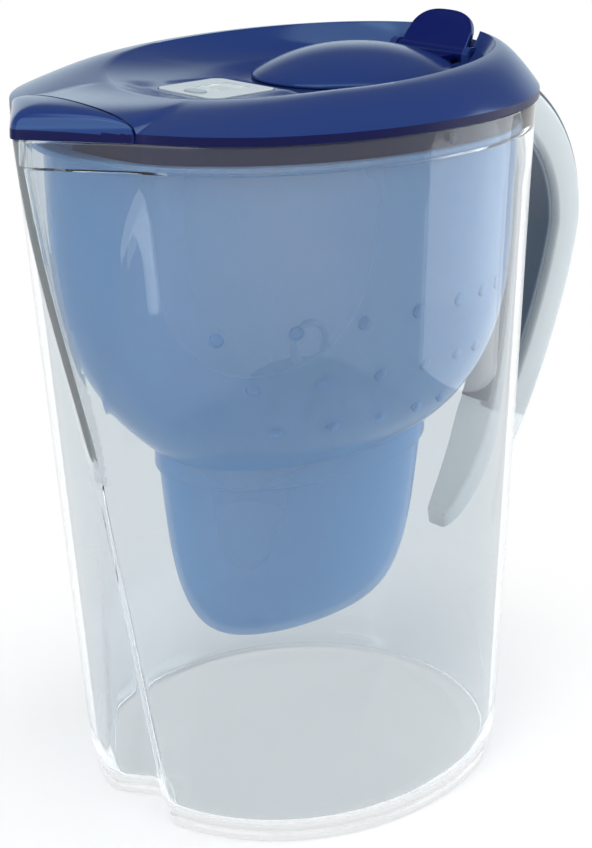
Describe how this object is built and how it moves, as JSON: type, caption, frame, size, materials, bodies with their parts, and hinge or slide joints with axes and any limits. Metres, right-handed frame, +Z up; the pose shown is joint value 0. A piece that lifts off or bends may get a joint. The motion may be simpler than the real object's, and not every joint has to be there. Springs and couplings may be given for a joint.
{
  "type": "water filter pitcher",
  "caption": "Clear oval water filter pitcher with a rear handle, navy lift-off lid, fill flap and pour flap, and a blue funnel that holds a filter cartridge.",
  "frame": {"origin": "middle of the jug's oval base, on the face it stands on", "axes": "+X towards the handle, -X towards the spout, +Z up"},
  "size_m": [0.2673, 0.1608, 0.2689],
  "materials": {
    "clear_jug": "clear moulded plastic, glossy",
    "handle_clear": "clear moulded plastic, glossy",
    "grip": "soft grip, satin",
    "dark_strip": "dark plastic, satin",
    "funnel_blue": "translucent blue plastic",
    "cartridge_white": "white moulded plastic",
    "cap_white": "white moulded plastic",
    "seal_dark": "soft seal",
    "mesh_white": "fine mesh",
    "granules": "packed granules",
    "lid_navy": "navy plastic, glossy",
    "flap_navy": "navy plastic, glossy",
    "tab_navy": "dark translucent navy plastic",
    "pour_navy": "navy plastic, glossy",
    "axle_navy": "navy plastic",
    "silver": "silver paint on plastic, satin",
    "case_grey": "grey plastic",
    "display": "grey-green display panel",
    "lens": "clear window",
    "board": "green circuit board",
    "cell": "plain steel",
    "button_grey": "satin grey"
  },
  "bodies": {
    "jug": {"jug_body": "clear_jug", "handle_frame": "handle_clear", "handle_grip": "grip", "handle_back_strip": "dark_strip"},
    "funnel_unit": {"funnel": "funnel_blue"},
    "cartridge": {"cartridge_cup": "cartridge_white", "cartridge_cap": "cap_white", "cartridge_seal": "seal_dark", "upper_mesh": "mesh_white", "lower_mesh": "mesh_white", "filter_granules": "granules", "pull_ring": "cartridge_white"},
    "lid": {"lid_shell": "lid_navy", "fill_flap_lugs": "flap_navy", "pour_flap_lugs": "flap_navy", "indicator_case": "case_grey", "indicator_bezel": "silver", "display_panel": "display", "display_lens": "lens", "circuit_board": "board", "button_cell": "cell"},
    "fill_flap_unit": {"fill_flap": "flap_navy", "thumb_tab": "tab_navy", "fill_flap_axle": "axle_navy"},
    "pour_flap_unit": {"pour_flap": "pour_navy", "pour_flap_axle": "axle_navy"},
    "button": {"indicator_button": "button_grey"}
  },
  "joints": [
    {"name": "funnel_lift", "type": "slide", "parent": "jug", "child": "funnel_unit", "axis": [0, 0, 1], "range_m": [0, 0.2]},
    {"name": "cartridge_lift", "type": "slide", "parent": "funnel_unit", "child": "cartridge", "axis": [0, 0, 1], "range_m": [0, 0.185]},
    {"name": "lid_lift", "type": "slide", "parent": "cartridge", "child": "lid", "axis": [0, 0, 1], "range_m": [0, 0.12]},
    {"name": "fill_flap_hinge", "type": "hinge", "parent": "lid", "child": "fill_flap_unit", "pos_m": [0.0703, 0, 0.2548], "axis": [0, 1, 0], "range_deg": [0, 32]},
    {"name": "pour_flap_hinge", "type": "hinge", "parent": "lid", "child": "pour_flap_unit", "pos_m": [-0.10037, 0, 0.25294], "axis": [0, 1, 0], "range_deg": [0, 50]},
    {"name": "button_press", "type": "slide", "parent": "lid", "child": "button", "axis": [0, 0, -1], "range_m": [0, 0.0006], "stiffness_N_per_m": 300, "springref_m": -0.0003}
  ]
}
